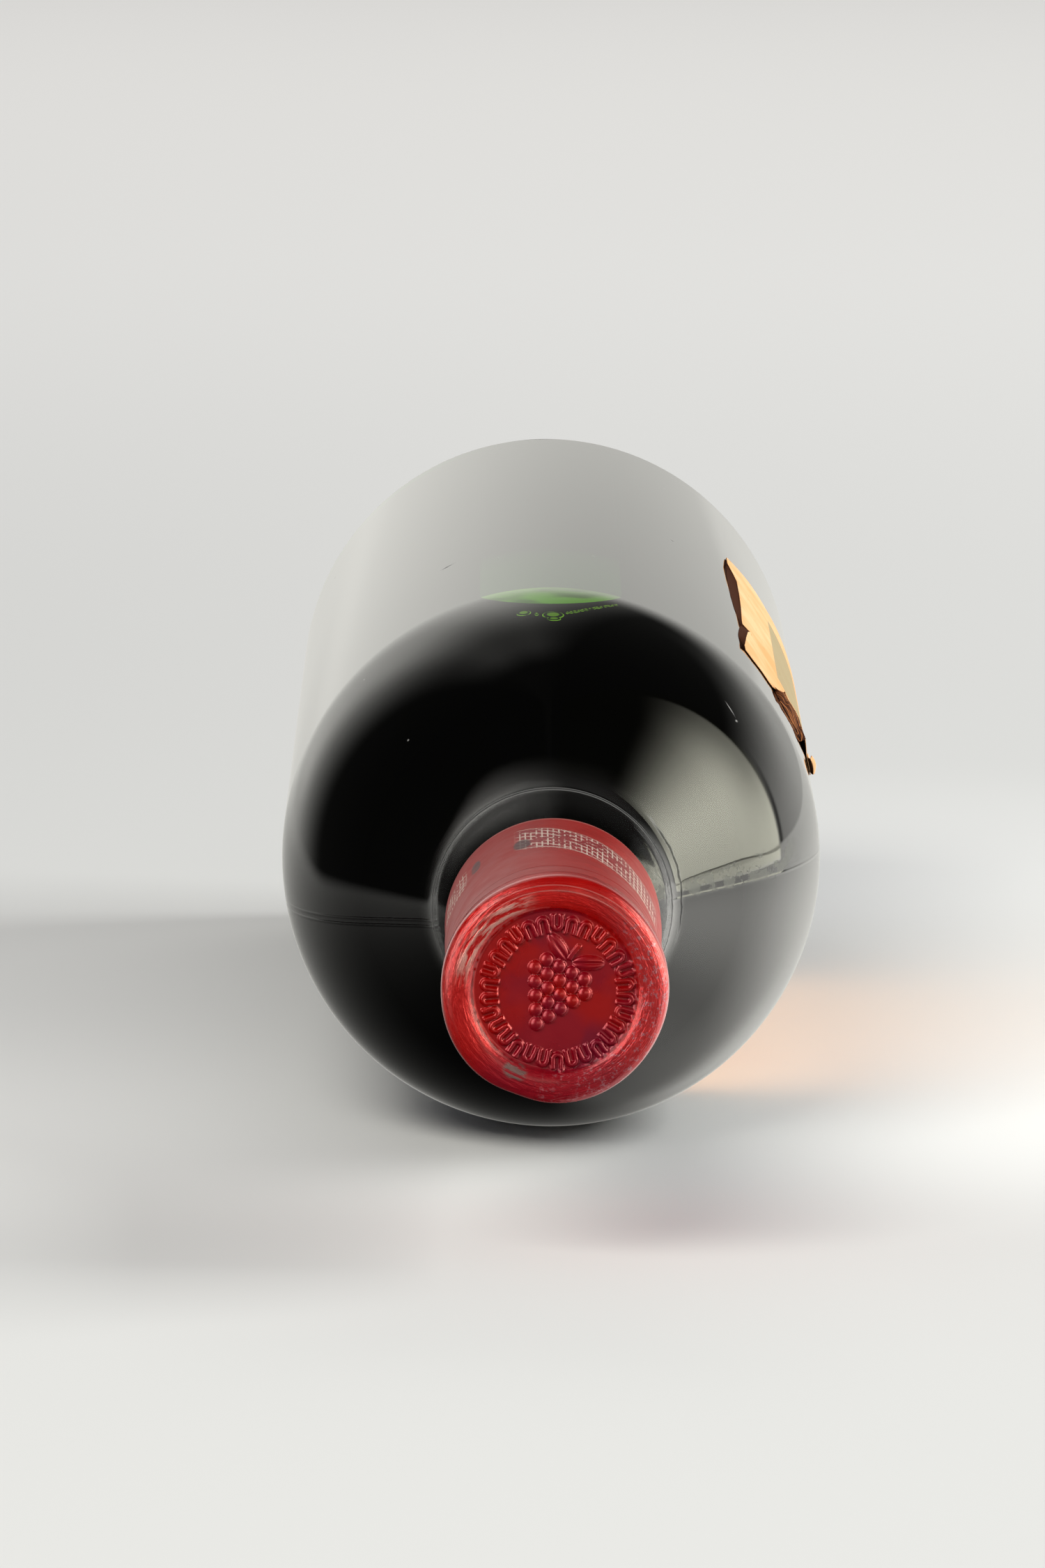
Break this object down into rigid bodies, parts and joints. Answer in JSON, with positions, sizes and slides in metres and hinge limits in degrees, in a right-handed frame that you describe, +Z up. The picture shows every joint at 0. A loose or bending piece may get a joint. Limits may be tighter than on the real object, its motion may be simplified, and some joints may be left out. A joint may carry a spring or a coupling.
{
  "type": "wine bottle",
  "caption": "Full corked wine bottle lying on its side: dark green glass, red foil capsule with raised relief, torn paper label.",
  "frame": {"origin": "on the floor, at the middle of the flat that the bottle's body rests on, halfway along the whole bottle", "axes": "+Y along the bottle from its neck to its base, +Z up, +X to the right seen from the neck"},
  "size_m": [0.0757, 0.3, 0.0748],
  "materials": {
    "bottle_glass": "dark green bottle glass, glossy, with dust and light scuffs",
    "red_wine": "red wine, near black in bulk",
    "capsule_foil": "red lacquered foil, satin, rubbed and dusty",
    "label_paper": "aged tan paper, matt, torn and curled at its edges"
  },
  "bodies": {
    "root": {"glass_neck": "bottle_glass", "glass_body": "bottle_glass", "wine": "red_wine", "capsule": "capsule_foil", "label": "label_paper"}
  },
  "joints": []
}
